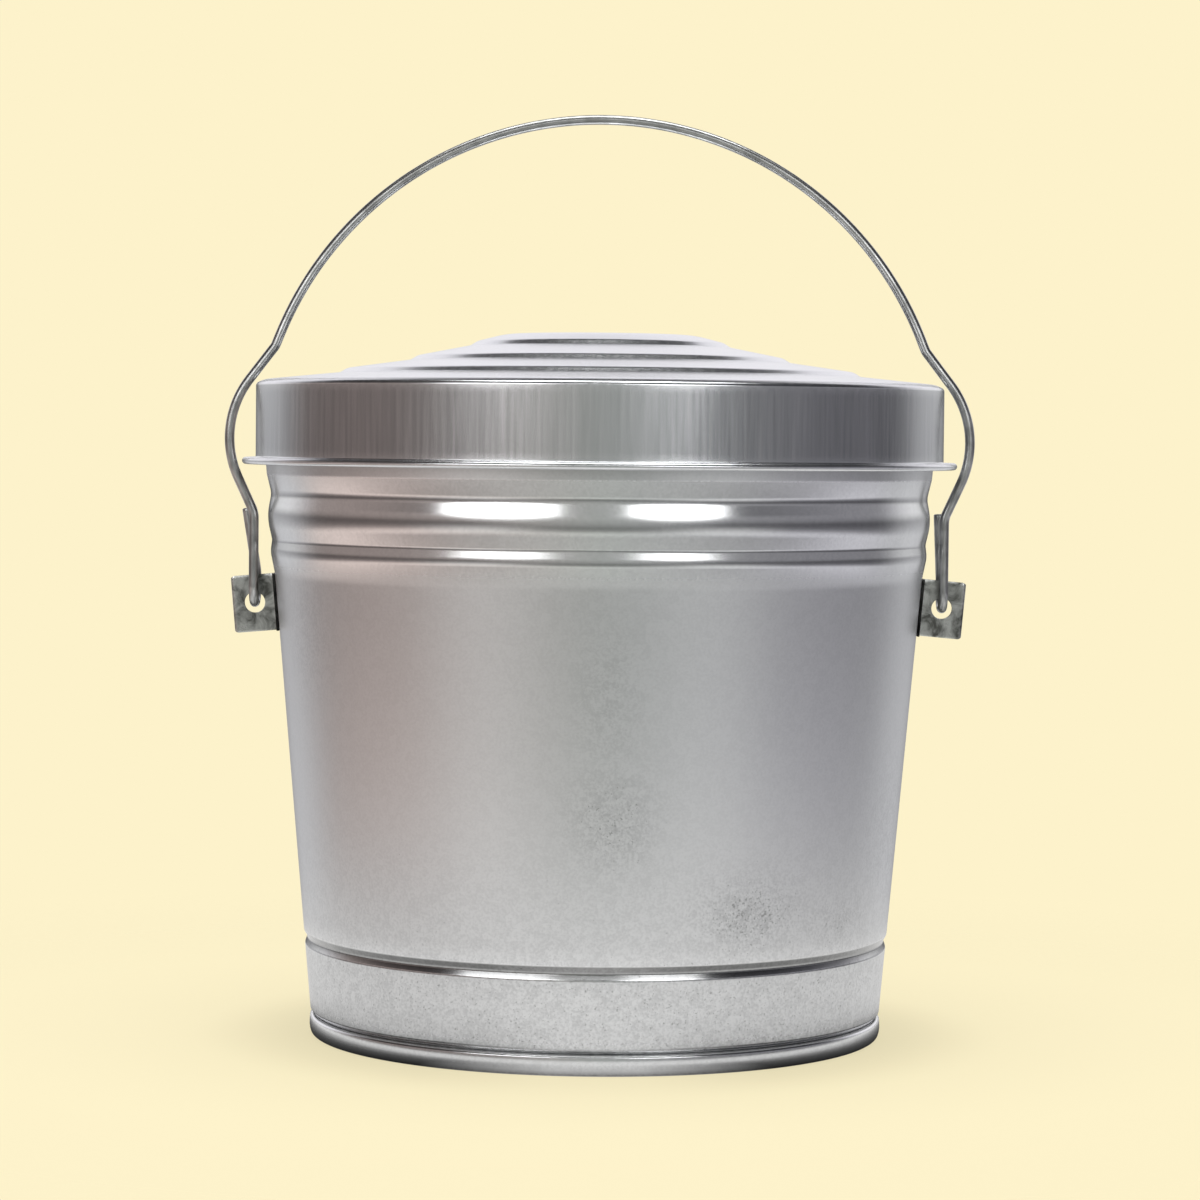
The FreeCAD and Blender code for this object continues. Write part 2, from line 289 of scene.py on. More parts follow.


# %% [markdown]
# ### Galvanised sheet of the wall
# Spangle a few millimetres wide and a fine frosting, both faint because the sheet was rolled once more after
# the dip. Dust that was caught in the zinc left dark specks in loose patches. Where rollers pressed the
# grooves and beads the frosting is burnished, and shade is painted dark into the creases and along the foot's
# bottom edge. Three values stored on the mesh say where.

# %% Galvanised sheet
SPANGLE, FROSTING, DUST, FROSTING_SHARE = 3.6, 1.3, 1.2, 0.85
# the first colour is dust; the second is painted shade for the creases and the foot's bottom edge
DUST_COLOUR, CREASE_SHADE_COLOUR = "#5c5c58", "#3a3936"
LEAST_MOTTLE, LEAST_CREASE_SHADE, CLEAN_LIMIT, DUSTY_LIMIT, SPECK_EDGE = 0.14, 0.7, 0.8, 0.55, 0.06
SHEET_RELIEF = (0.05, 0.05)


def galvanised_sheet(name, tone, dark_tone, rough, burnished_rough, speck_share):
    """Hot-dip galvanised, skin-passed sheet: satin metal, faint spangle, frosting, specks and painted shade.
    """
    material, add, place = new_material(name)
    worked, dusty, crease_shade = (add("Attribute", attribute_name=label).outputs["Fac"]
                            for label in ("worked", "dusty", "crease_shade"))

    spangle = add("TexVoronoi", {"Vector": place, "Scale": per_metre(SPANGLE)})
    spangle_tone = add("SeparateColor", {"Color": spangle.outputs["Color"]})
    frosting = add("TexNoise", {"Vector": place, "Scale": per_metre(FROSTING), "Roughness": 0.6})
    mottle = add("Mix", {0: FROSTING_SHARE, 2: spangle_tone.outputs["Red"], 3: frosting})
    dull = add("MapRange", {"Value": mottle, "From Min": 0.62, "From Max": 0.36})
    shown = add("MapRange", {"Value": dusty, "To Min": LEAST_MOTTLE})
    faded = add("Math", {0: dull, 1: shown}, operation="MULTIPLY")
    mottled = add("Mix", {0: faded, 6: linear(tone), 7: linear(dark_tone)}, data_type="RGBA")

    # dust under a millimetre wide is drawn a little coarser, so that it still shows at this distance
    dust = add("TexNoise", {"Vector": place, "Scale": per_metre(DUST), "Roughness": 0.65})
    limit = add("MapRange", {"Value": dusty, "To Min": CLEAN_LIMIT, "To Max": DUSTY_LIMIT})
    over = add("Math", {0: dust, 1: limit}, operation="SUBTRACT")
    speck = add("MapRange", {"Value": over, "From Max": SPECK_EDGE, "To Max": speck_share})
    specked = add("Mix", {0: speck, 6: mottled, 7: linear(DUST_COLOUR)}, data_type="RGBA")
    uneven = add("MapRange", {"Value": frosting, "From Min": 0.35, "From Max": 0.65, "To Min": LEAST_CREASE_SHADE})
    # painted shade: the creases and the foot's bottom edge are darkened, unevenly with the frosting
    crease_darkening = add("Math", {0: crease_shade, 1: uneven}, operation="MULTIPLY")
    crease_darkened = add("Mix", {0: crease_darkening, 6: specked, 7: linear(CREASE_SHADE_COLOUR)}, data_type="RGBA")

    frosted = add("MapRange", {"Value": mottle, "From Min": 0.2, "From Max": 0.8,
                               "To Min": rough[0], "To Max": rough[1]})
    roughness = add("Mix", {0: worked, 2: frosted, 3: burnished_rough})
    finish_metal(add, crease_darkened, roughness, mottle, SHEET_RELIEF)
    return material


wall_finish = galvanised_sheet("galvanised_rolled_sheet", tone="#e3e4e5", dark_tone="#c3c4c5",
                               rough=(0.32, 0.37), burnished_rough=0.18, speck_share=0.5)
print("made", wall_finish.name)

# %% [markdown]
# ### Drawn sheet of the lid
# The lid is pressed from the same sheet. The punch drags the zinc down the skirt and leaves fine upright
# streaks, some bright and some dull. They are noise stretched upwards, drawn wider than the real scratches so
# that they show.

# %% Drawn sheet
STREAK, STREAK_GROUP, GROUP_SHARE, PANEL_FROSTING = 2.0, 16.0, 0.35, 2.4
UPRIGHT = (1.0, 1.0, 0.03)


def drawn_sheet(name, tones, rough):
    """Galvanised sheet after deep drawing: smooth panel, and a skirt with fine upright draw streaks."""
    material, add, place = new_material(name)
    skirt = add("Attribute", attribute_name="worked").outputs["Fac"]
    squeezed = add("Mapping", {"Vector": place, "Scale": UPRIGHT})
    streaks = add("TexNoise",
                  {"Vector": squeezed, "Scale": per_metre(STREAK), "Detail": 3.0, "Roughness": 0.6})
    broad = add("TexNoise", {"Vector": squeezed, "Scale": per_metre(STREAK_GROUP)})
    frosting = add("TexNoise",
                   {"Vector": place, "Scale": per_metre(PANEL_FROSTING), "Detail": 3.0, "Roughness": 0.6})
    pulled = add("Mix", {0: GROUP_SHARE, 2: streaks, 3: broad})
    pattern = add("Mix", {0: skirt, 2: frosting, 3: pulled})
    two_toned_metal(add, pattern, tones, (0.32, 0.68), rough, (0.02, 0.05))
    return material


lid_finish = drawn_sheet("galvanised_drawn_sheet", tones=("#d8dadc", "#e6e7e9"), rough=(0.19, 0.25))
print("made", lid_finish.name)

# %% [markdown]
# ### Galvanised wire
# Wire is pulled through a die, which leaves long scratches, and its zinc coat is thinner and duller than the
# sheet's. The scratches follow the wire, so they read a map that runs along and around it. They too are drawn
# wider than they are.

# %% Galvanised wire
SCRATCH, WIRE_PATCH, PATCH_SHARE = 1.4, 6.0, 0.5
ALONG_WIRE = (0.12, 1.6, 1.0)


def drawn_wire(name, tones, rough):
    """Galvanised drawn wire: dull grey metal with long scratches and small dark patches."""
    material, add, place = new_material(name)
    along = add("UVMap", uv_map="UVMap")
    stretched = add("Mapping", {"Vector": along, "Scale": ALONG_WIRE})
    scratches = add("TexNoise", {"Vector": stretched, "Scale": per_metre(SCRATCH), "Detail": 3.0})
    patches = add("TexNoise", {"Vector": place, "Scale": per_metre(WIRE_PATCH), "Detail": 1.0})
    pattern = add("Mix", {0: PATCH_SHARE, 2: scratches, 3: patches})
    two_toned_metal(add, pattern, tones, (0.38, 0.62), rough, (0.03, 0.08))
    return material


wire_finish = drawn_wire("galvanised_drawn_wire", tones=("#9c9d9c", "#c8c9c8"), rough=(0.35, 0.27))
print("made", wire_finish.name)

# %% [markdown]
# ### Strap of the ears
# The ears are folded from strap that was dipped after punching, so their zinc is uneven: cloudy, darker and
# blotched. The sheared edges have a nearly black finish of their own.

# %% Dipped strap and its sheared edge
BLOTCH = 8.0


def dipped_strap(name, tones, rough):
    """Dipped steel strap: cloudy grey metal with blotches a few millimetres wide."""
    material, add, place = new_material(name)
    clouds = add("TexNoise", {"Vector": place, "Scale": per_metre(BLOTCH), "Detail": 4.0,
                              "Roughness": 0.6, "Distortion": 0.6})
    two_toned_metal(add, clouds, tones, (0.38, 0.62), rough, (0.3, 0.25))
    return material


strap_finish = dipped_strap("dipped_strap", tones=("#62635f", "#d2d3d0"), rough=(0.42, 0.26))
edge_finish = dipped_strap("sheared_strap_edge", tones=("#161616", "#3a3a39"), rough=(0.58, 0.42))
print("made", strap_finish.name, "and", edge_finish.name)

# %% [markdown]
# ## The wall
# One sheet rolled into a cone, with a groove near the foot and two beads and a groove under the lid. Its
# bottom edge is a hook inside the foot seam and its top edge is curled round a wire. On the real can rollers
# press these swages; here they are bends in one profile, which then turns about the axis.

# %% Wall sizes
SHEET, FOLD_GAP = 0.7, 0.1
LAYER = SHEET + FOLD_GAP
BASE_RADIUS, NECK_RADIUS = 132.9, 156.3
RIM_TOP, NECK_DROP, CURL_RADIUS = 304.4, 36.0, 1.75
NECK_HEIGHT = RIM_TOP - NECK_DROP
TAPER = (NECK_RADIUS - BASE_RADIUS) / NECK_HEIGHT
FOOT_STAND_OUT, FOOT_SEAM_HEIGHT, FOOT_NECK_HEIGHT = 1.4, 9.4, 2.6
LOW_GROOVE_HEIGHT, LOW_GROOVE_HALF_WIDTH, LOW_GROOVE_DEPTH = 45.9, 3.2, 1.5
HIGH_GROOVE_DROP, HIGH_GROOVE_HALF_WIDTH, HIGH_GROOVE_DEPTH = 51.4, 9.0, 1.4
HIGH_GROOVE_HEIGHT = RIM_TOP - HIGH_GROOVE_DROP
LARGE_BEAD_WIDTH, LARGE_BEAD_RISE = 21.6, 1.5
SMALL_BEAD_WIDTH, SMALL_BEAD_RISE, SMALL_BEAD_LIFT = 11.9, 1.2, 0.4
VALLEY_HEIGHT = HIGH_GROOVE_HEIGHT - LARGE_BEAD_WIDTH
BEAD_START = VALLEY_HEIGHT - SMALL_BEAD_WIDTH
FOOT_NECK_BEND, LOW_GROOVE_BEND, BLEND_BEND, BLEND_DROP = 0.9, 2.4, 30.0, 4.0
SMALL_BEAD_BEND, VALLEY_BEND, LARGE_BEAD_BEND, HIGH_GROOVE_BEND, NECK_BEND = 13.0, 5.0, 26.0, 10.0, 8.0
WALL_STEP = 7.0
print("the wall leans out by", round(degrees(atan(TAPER)), 2), "degrees")

# %% Wall profile
SEAM_LAYERS = BASE_RADIUS + FOOT_STAND_OUT - SHEET / 2 - LAYER * np.arange(5)[::-1]
pan_inside, wall_inside, pan_hook, wall_hook, pan_outside = SEAM_LAYERS
foot_low, fold_high = SHEET / 2, FOOT_SEAM_HEIGHT - SHEET / 2
foot_neck = FOOT_SEAM_HEIGHT + SHEET / 2
neck_middle = NECK_RADIUS - SHEET / 2
curl_outside = neck_middle + 2 * CURL_RADIUS
curl_top = RIM_TOP - SHEET / 2
curl_bottom = curl_top - 2 * CURL_RADIUS


def on_cone(height, rise=0.0):
    """Middle of the wall's sheet: base radius plus taper times height, less half a sheet, plus a rise."""
    return (BASE_RADIUS + TAPER * height - SHEET / 2 + rise, height)


wall_bends = [
    ((wall_hook, fold_high - LAYER - FOLD_GAP), None),
    ((wall_hook, foot_low + LAYER), LAYER),
    ((wall_inside, foot_low + LAYER), LAYER),
    ((wall_inside, foot_neck), FOOT_NECK_BEND),
    (on_cone(foot_neck + FOOT_NECK_HEIGHT), FOOT_NECK_BEND),
    (on_cone(LOW_GROOVE_HEIGHT - LOW_GROOVE_HALF_WIDTH), LOW_GROOVE_BEND),
    (on_cone(LOW_GROOVE_HEIGHT, -LOW_GROOVE_DEPTH), LOW_GROOVE_BEND),
    (on_cone(LOW_GROOVE_HEIGHT + LOW_GROOVE_HALF_WIDTH), LOW_GROOVE_BEND),
    (on_cone(BEAD_START - BLEND_DROP), BLEND_BEND),
    (on_cone(VALLEY_HEIGHT - SMALL_BEAD_WIDTH / 2 + SMALL_BEAD_LIFT, SMALL_BEAD_RISE), SMALL_BEAD_BEND),
    (on_cone(VALLEY_HEIGHT), VALLEY_BEND),
    (on_cone(VALLEY_HEIGHT + LARGE_BEAD_WIDTH / 2, LARGE_BEAD_RISE), LARGE_BEAD_BEND),
    (on_cone(HIGH_GROOVE_HEIGHT, -HIGH_GROOVE_DEPTH), HIGH_GROOVE_BEND),
    (on_cone(HIGH_GROOVE_HEIGHT + HIGH_GROOVE_HALF_WIDTH), NECK_BEND),
    (on_cone(NECK_HEIGHT), NECK_BEND),
    ((neck_middle, curl_top), CURL_RADIUS),
    ((curl_outside, curl_top), CURL_RADIUS),
    ((curl_outside, curl_bottom), CURL_RADIUS),
    ((NECK_RADIUS + FOLD_GAP, curl_bottom), None),
]
wall_outline, wall_shown = sheet_outline(wall_bends, SHEET, WALL_STEP, 1)
wall_heights = wall_outline[:, 1]
print("the wall's outline has", len(wall_outline), "points, and", wall_shown, "of them show")

# %% [markdown]
# Rolled sheet is never perfectly round, so a few slow waves, about a tenth of a millimetre deep, let its
# reflections waver. A sculpt brush could do that by hand, but a sum of cosines is the same at each run. The
# wall's two edges meet at the back in a lock seam, folded flat, and the roller that closes the foot leaves it
# barrel-shaped. All three are a swell that is added to the radius.

# %% Waves, seam and rolled foot
# slow waves: turns in a circle, start in radians, millimetres up for one radian, and share
WAVES = [(3, 0.4, 90, 1.0), (5, -1.1, -60, 1.0), (11, 0.0, 35, 0.6), (23, 0.0, -25, 0.4)]
WAVE_DEPTH, CALM_RADIUS = 0.12, 40.0
SEAM_WIDTH, SEAM_RISE, SEAM_EDGE, SEAM_END, SEAM_COLUMNS = 8.0, 0.9, 0.8, 2.5, 41
SEAM_ANGLE = pi / 2
FOOT_BARREL, FOOT_UNDERCUT = 0.3, 1.3


def waves(angles, outline, depth):
    """Slow dents, inwards only: a sum of cosines of a few turns and heights, scaled from none to depth.

    They die out towards the axis.
    """
    total = sum(share * np.cos(turns * angles + start + outline[:, 1:] / rise)
                for turns, start, rise, share in WAVES)
    most = sum(share for *_, share in WAVES)
    return depth * (total / (2 * most) - 0.5) * np.clip(outline[:, :1] / CALM_RADIUS, 0, 1)


def seam_ridge(outline, angles, is_outside):
    """Lock seam at the back: a flat ridge whose edges ramp up over a short width, on the outside only."""
    across = np.abs(angles - SEAM_ANGLE) * NECK_RADIUS
    step = np.clip((SEAM_WIDTH / 2 - across) / SEAM_EDGE + 0.5, 0, 1)
    low, high = foot_neck + FOOT_NECK_HEIGHT + SEAM_END, NECK_HEIGHT - SEAM_END
    along = np.clip(np.minimum(outline[:, 1] - low, high - outline[:, 1]) / SEAM_EDGE + 0.5, 0, 1)
    return SEAM_RISE * (along * is_outside)[:, None] * step[None, :]


def barrelled(outline):
    """Swell of the rolled foot: inwards by the square of the way from its middle, more below than above.

    The layers inside the fold move less, the nearer they are to the pan's own wall.
    """
    radius, height = outline.T
    way = (height - FOOT_SEAM_HEIGHT / 2) / (FOOT_SEAM_HEIGHT / 2)
    above = FOOT_BARREL * np.clip(radius - pan_hook, 0, 1) * (way > 0) * (height <= FOOT_SEAM_HEIGHT)
    below = FOOT_UNDERCUT * np.clip((radius - pan_inside) / (3 * LAYER), 0, 1) * (way < 0)
    return -((above + below) * way ** 2)[:, None]


seam_edges = np.linspace(-1, 1, SEAM_COLUMNS) * (SEAM_WIDTH / 2 + SEAM_EDGE) / NECK_RADIUS
wall_angles = np.union1d(turn_angles, SEAM_ANGLE + seam_edges)
is_outside = (np.arange(len(wall_outline)) < wall_shown).astype(float)
wall_swell = (waves(wall_angles, wall_outline, WAVE_DEPTH) + barrelled(wall_outline)
              + seam_ridge(wall_outline, wall_angles, is_outside))
print("the wall swells from", round(wall_swell.min(), 2), "to", round(wall_swell.max(), 2), "mm")

# %% [markdown]
# Three marks tell the finish where the sheet is worked, dusty and painted with shade. They could be painted
# by hand on the mesh, but tables by height keep them in line with the grooves and beads.

# %% Marks on the wall
# dusty patches: degrees round from the front, height, half width in degrees, half height and share
DUSTY_PATCHES = [(3, 112, 8, 24, 0.75), (2, 165, 6, 34, 0.4), (29, 70, 14, 20, 1.0), (52, 62, 16, 16, 0.7),
                 (-20, 62, 14, 10, 0.35), (75, 95, 16, 45, 0.6), (118, 150, 12, 40, 0.5),
                 (165, 80, 18, 30, 0.8), (-150, 120, 14, 36, 0.6), (-105, 75, 20, 26, 0.7),
                 (-62, 190, 9, 30, 0.4)]
DUSTY_GROUND = [(0, 0.68), (40, 0.68), (50, 0.5), (75, 0.3), (110, 0.08)]
groove, beads, neck = LOW_GROOVE_HEIGHT, BEAD_START, HIGH_GROOVE_HEIGHT
PRESSED = [(12, 1), (14, 0), (groove - 4, 0), (groove - 3, 1), (groove + 3, 1), (groove + 4, 0),
           (beads - 3, 0), (beads + 2, 1), (neck + 6, 1), (neck + 11, 0)]
# painted shade by height in mm: the crease over the foot and the low groove, with its depth
PAINTED_CREASE_SHADE = [(foot_neck, 0.15), (foot_neck + 1.0, 0.1), (foot_neck + FOOT_NECK_HEIGHT, 0), (groove - 2.9, 0),
         (groove - 1.9, 0.6), (groove, 0.6), (groove + 2.8, 0.65), (groove + 3.4, 0)]


def dustiness(heights, angles):
    """Share of specks: a bell round each patch's middle, over a ground that thickens below the low groove."""
    height = heights[:, None]
    total = by_table(height, DUSTY_GROUND) + 0 * angles[None, :]
    for turn, middle, wide, tall, share in DUSTY_PATCHES:
        off = np.angle(np.exp(1j * (angles + pi / 2 - radians(turn))))[None, :]
        bell = np.exp(-(off / radians(wide)) ** 2 - ((height - middle) / tall) ** 2)
        total = np.maximum(total, share * bell)
    return total


wall_marks = {"worked": by_table(wall_heights, PRESSED), "crease_shade": by_table(wall_heights, PAINTED_CREASE_SHADE),
              "dusty": dustiness(wall_heights, wall_angles)}
print("the wall has", len(DUSTY_PATCHES), "dusty patches")

# %% Wall
wall = spun_piece("galvanised_wall", wall_outline, wall_angles, wall_swell, wall_finish, wall_marks)
stand_for(wall, "can_wall", "can")

# %% [markdown]
# ## The bottom pan and the foot
# The floor of the can is a shallow pan, raised off the ground. Its edge is folded round the wall's hook, and
# that fold is the foot that shows as a bead at the base. A torus would do for the bead alone, but the profile
# of the whole fold keeps its layers where they are.

# %% Pan
FLOOR_HEIGHT, FLOOR_BEND, FOOT_BEND = 20.0, 5.0, 1.1
PAN_STEP, PAN_WAVE_DEPTH, PAN_DUST, RUBBED_OFF = 1.5, 0.1, 0.3, 0.1
# painted shade by height in mm along the foot's bottom edge, with its depth
FOOT_EDGE_SHADE = [(0.9, 0.7), (2.2, 0.15), (4.0, 0)]
pan_bends = [
    ((0.0, FLOOR_HEIGHT - SHEET / 2), None),
    ((pan_inside, FLOOR_HEIGHT - SHEET / 2), FLOOR_BEND),
    ((pan_inside, foot_low), FOOT_BEND),
    ((pan_outside, foot_low), FOOT_BEND),
    ((pan_outside, fold_high), LAYER),
    ((pan_hook, fold_high), LAYER),
    ((pan_hook, foot_low + 2 * LAYER + FOLD_GAP), None),
]
pan_outline, _ = sheet_outline(pan_bends, SHEET, PAN_STEP, 1)
pan_heights = pan_outline[:, 1]
on_foot = np.clip(pan_outline[:, 0] - pan_hook, 0, 1) * (pan_heights < FOOT_SEAM_HEIGHT + 1)
pan_swell = barrelled(pan_outline) + waves(turn_angles, pan_outline, PAN_WAVE_DEPTH)
pan_marks = {"worked": on_foot, "crease_shade": by_table(pan_heights, FOOT_EDGE_SHADE),
             "dusty": PAN_DUST - RUBBED_OFF * on_foot}
pan = spun_piece("galvanised_pan", pan_outline, turn_angles, pan_swell, wall_finish, pan_marks)
stand_for(pan, "bottom_pan", "can")

# %% [markdown]
# ## The lid
# A drawn cover: a flat crown, three bands that fall in steps, a shoulder that sits over the rim, a skirt and
# a flange whose edge is curled under. Each step is a soft roll and then a tight crease, which draws the dark
# rings. The profile is made like the wall's, with its shown side on the left.

# %% Lid profile
LID_RADIUS, SHOULDER_WIDTH, SHOULDER_ANGLE, SHOULDER_RADIUS = 161.0, 4.0, radians(22), 1.65
CROWN_FLAT, CROWN_BEND, CROWN_RISE = 44.0, 40.0, 5.6
STEP_RADII, BAND_RISES = (61.0, 89.0, 122.0), (7.0, 6.3, 5.1)
ROLL_WIDTH, ROLL_DROP, ROLL_RADIUS, CREASE_RADIUS, SHOULDER_BEND = 3.4, 2.15, 7.0, 1.2, 11.0
SKIRT_DEPTH, FLANGE_REACH, FLANGE_DEPTH, FLANGE_BEND = 35.9, 6.3, 3.2, 1.0
RUNNING_GAP, LID_STEP = 0.3, 4.0
lid_middle = LID_RADIUS - SHEET / 2
curl_middle = neck_middle + CURL_RADIUS
stand_off = CURL_RADIUS + SHEET + RUNNING_GAP
shoulder_slope = tan(SHOULDER_ANGLE)
shoulder_height = (curl_top - CURL_RADIUS + stand_off / cos(SHOULDER_ANGLE)
                   - (lid_middle - curl_middle) * shoulder_slope)
crown_height = shoulder_height + sum(BAND_RISES) + CROWN_RISE
flange_height = shoulder_height - SKIRT_DEPTH
flange_half = FLANGE_DEPTH / 2 - SHEET / 2
flange_outside = LID_RADIUS + FLANGE_REACH - SHEET / 2
step_heights = crown_height - np.cumsum([CROWN_RISE, *BAND_RISES[:2]])

lid_bends = [((0.0, crown_height), None), ((CROWN_FLAT, crown_height), CROWN_BEND)]
for radius, height in zip(STEP_RADII, step_heights):
    lid_bends += [((radius - ROLL_WIDTH, height + ROLL_DROP), ROLL_RADIUS), ((radius, height), CREASE_RADIUS)]
lid_bends += [
    ((lid_middle - SHOULDER_WIDTH, shoulder_height + SHOULDER_WIDTH * shoulder_slope), SHOULDER_BEND),
    ((lid_middle, shoulder_height), SHOULDER_RADIUS),
    ((lid_middle, flange_height + flange_half), FLANGE_BEND),
    ((flange_outside, flange_height + flange_half), flange_half),
    ((flange_outside, flange_height - flange_half), flange_half),
    ((LID_RADIUS, flange_height - flange_half), None),
]
lid_outline, lid_shown = sheet_outline(lid_bends, SHEET, LID_STEP, -1)
print("the lid's outline has", len(lid_outline), "points, and", lid_shown, "of them show")

# %% Lid
LID_TURN, STREAKS_BEGIN, STREAKS_FULL = 1.3, 0.5, 3.0
lid_heights = lid_outline[:, 1]
lid_swell = waves(turn_angles + LID_TURN, lid_outline, WAVE_DEPTH)
on_skirt = by_table(lid_heights, [(shoulder_height - STREAKS_FULL, 1), (shoulder_height - STREAKS_BEGIN, 0)])
lid = spun_piece("galvanised_lid", lid_outline, turn_angles, lid_swell, lid_finish, {"worked": on_skirt})
stand_for(lid, "lid_cover", "lid")

# %% [markdown]
# ## Wires
# The rim wire is a plain ring that stiffens the curl. The bail is one wire: an arch to carry by, a kink on
# each side that snaps over the lid's shoulder, a bow past the lid's edge, a leg, and a hairpin through each
# ear. A curve with a bevel would draw it, but a circle carried along the path keeps a map along the wire for
# its scratches.

# %% Wire helpers
RIM_WIRE, BAIL_WIRE, WIRE_SIDES = 2.0, 4.5, 28
# the cut ends: share of the wire's radius, and how far in from the tip
END_SHARES, END_DEPTHS = np.array([0.0, 0.55, 0.86, 1.0]), np.array([0.0, 0.0, 0.12, 0.45])
ASKEW = np.array([1.0, 1.0, 0.0])


def tube(path, wire_radius, closed):
    """Circle carried along a path: the path's point plus the radius times cosine and sine of two directions.

    Both are square to the path, and worked out from one fixed direction that the path never follows.
    """
    if closed:
        direction = unit(np.roll(path, -1, axis=0) - np.roll(path, 1, axis=0))
        radius = np.full(len(path), wire_radius)
    else:
        direction = path_directions(path)
        rings = len(END_SHARES)
        first = path[0] + direction[0] * END_DEPTHS[:, None]
        last = path[-1] - direction[-1] * END_DEPTHS[::-1, None]
        path = np.vstack([first, path[1:-1], last])
        direction = np.vstack([np.repeat(direction[:1], rings, 0), direction[1:-1],
                               np.repeat(direction[-1:], rings, 0)])
        radius = wire_radius * np.concatenate([END_SHARES, np.ones(len(path) - 2 * rings), END_SHARES[::-1]])
    side = unit(np.cross(direction, unit(ASKEW)))
    other = np.cross(side, direction)
    angle = np.linspace(0, 2 * pi, WIRE_SIDES, endpoint=False)[None, :, None]
    ring = np.cos(angle) * side[:, None, :] + np.sin(angle) * other[:, None, :]
    return path[:, None, :] + radius[:, None, None] * ring


def wire_piece(name, path, diameter, length, closed):
    """Wire with a UV map in metres: along it by ring number, around it by side number, there and back."""
    points = tube(path, diameter / 2, closed)
    rings = len(points)
    piece = make_piece(name, points, grid_faces(rings, WIRE_SIDES, closed, True), [wire_finish])
    mesh = piece.data
    layer = mesh.uv_layers.new(name="UVMap")
    number = np.zeros(len(mesh.loops), np.int32)
    mesh.loops.foreach_get("vertex_index", number)
    ring, side = np.divmod(np.maximum(number - 1, 0), WIRE_SIDES)
    around = np.abs(side - WIRE_SIDES / 2) * 2 * pi / WIRE_SIDES * BAIL_WIRE / 2
    values = np.column_stack([ring * length / rings * MM, around * MM])
    layer.data.foreach_set("uv", values.astype(np.float32).ravel())
    return piece


# %% Rim wire
rim_ring = np.column_stack([curl_middle * np.cos(turn_angles), curl_middle * np.sin(turn_angles),
                            np.full(COLUMNS, curl_top - CURL_RADIUS)])
rim = wire_piece("galvanised_rim_wire", rim_ring, RIM_WIRE, 2 * pi * curl_middle, closed=True)
stand_for(rim, "rim_wire", "can")

# %% Where the bail hangs
EAR_HEIGHT, EAR_REACH, EAR_STRAP, EAR_FOLD_GAP = 26.7, 21.4, 1.2, 0.2
EAR_HOLE, EAR_HOLE_OUT, EAR_HOLE_TO_TOP, EAR_MARGIN = 9.8, 11.0, 13.0, 4.2
HAIRPIN_CLEARANCE = 1.15
taper_angle = atan(TAPER)
ear_height = BEAD_START - EAR_MARGIN - EAR_HOLE_TO_TOP * cos(taper_angle)
ear_radius = BASE_RADIUS + TAPER * ear_height
hole_height = ear_height - EAR_HOLE_OUT * sin(taper_angle)
leg_reach = ear_radius + EAR_HOLE_OUT * cos(taper_angle)
hairpin_radius = (EAR_HOLE_TO_TOP + BAIL_WIRE / 2 + HAIRPIN_CLEARANCE) / 2
hinge_height = hole_height + hairpin_radius
print("the bail turns", round(hinge_height, 1), "mm up and hangs", round(leg_reach, 1), "mm out")

# %% Bail path
BAIL_LID_GAP, GRIP_RISE, ARCH_MARGIN = 1.5, 99.7, 0.4
ARCH_RADIUS = LID_RADIUS + ARCH_MARGIN
ARCH_END, LOCK_RUN, RETURN_RUN = (radians(angle) for angle in (22, 37.5, 24.7))
LEG_RISE, STUB_RISE, STUB_BEND_RISE = 34.2, 36.0, 6.0
LEFT_STUB, RIGHT_STUB = radians(9), radians(-2.5)
STUB_BEND, LEG_BEND, BOW_BEND, KINK_BEND, BAIL_STEP = 30.0, 12.0, 45.0, 7.0, 1.5


def crossing(start, lean, other, other_lean):
    """Where two lines of the bail's plane meet, each given by a point and its lean out from straight up."""
    slope, other_slope = tan(lean), tan(other_lean)
    rise = (other[0] - start[0] + other_slope * (start[1] - other[1])) / (slope - other_slope)
    return (start[0] + slope * rise, start[1] + rise)


def hairpin(side, lean):
    """Corners at one ear: the stub's tip behind it, the stub's bend, and the two corners under the hole."""
    bend, tip, reach = hinge_height + STUB_BEND_RISE, hinge_height + STUB_RISE, side * leg_reach
    return [(reach - tan(lean) * (tip - bend), hairpin_radius, tip), (reach, hairpin_radius, bend),
            (reach, hairpin_radius, hole_height), (reach, -hairpin_radius, hole_height)]


off = SHOULDER_RADIUS + SHEET / 2 + BAIL_LID_GAP + BAIL_WIRE / 2
round_height = shoulder_height - SHOULDER_RADIUS * tan(pi / 4 - SHOULDER_ANGLE / 2)
lock_point = (lid_middle - SHOULDER_RADIUS + off * cos(LOCK_RUN), round_height + off * sin(LOCK_RUN))
leg_bend = (leg_reach, hinge_height + LEG_RISE)
bow = crossing(lock_point, -LOCK_RUN, leg_bend, RETURN_RUN)
arch_corner = (ARCH_RADIUS * tan((pi / 2 - ARCH_END) / 2), crown_height + SHEET / 2 + GRIP_RISE)
kink = crossing(lock_point, -LOCK_RUN, arch_corner, -ARCH_END)
side_line = [leg_bend, bow, kink, arch_corner]
left_line = [(-x, -hairpin_radius, z) for x, z in side_line]
right_line = [(x, -hairpin_radius, z) for x, z in side_line[::-1]]
bail_corners = hairpin(-1, LEFT_STUB) + left_line + right_line + hairpin(1, -RIGHT_STUB)[::-1]
half_bends = [STUB_BEND, hairpin_radius, hairpin_radius, LEG_BEND, BOW_BEND, KINK_BEND]
bail_bends = half_bends + [ARCH_RADIUS] * 2 + half_bends[::-1]
bail_path = rounded_path(bail_corners, bail_bends, BAIL_STEP)
bail_length = step_lengths(bail_path).sum()
print("the bail's wire is", round(bail_length), "mm long")

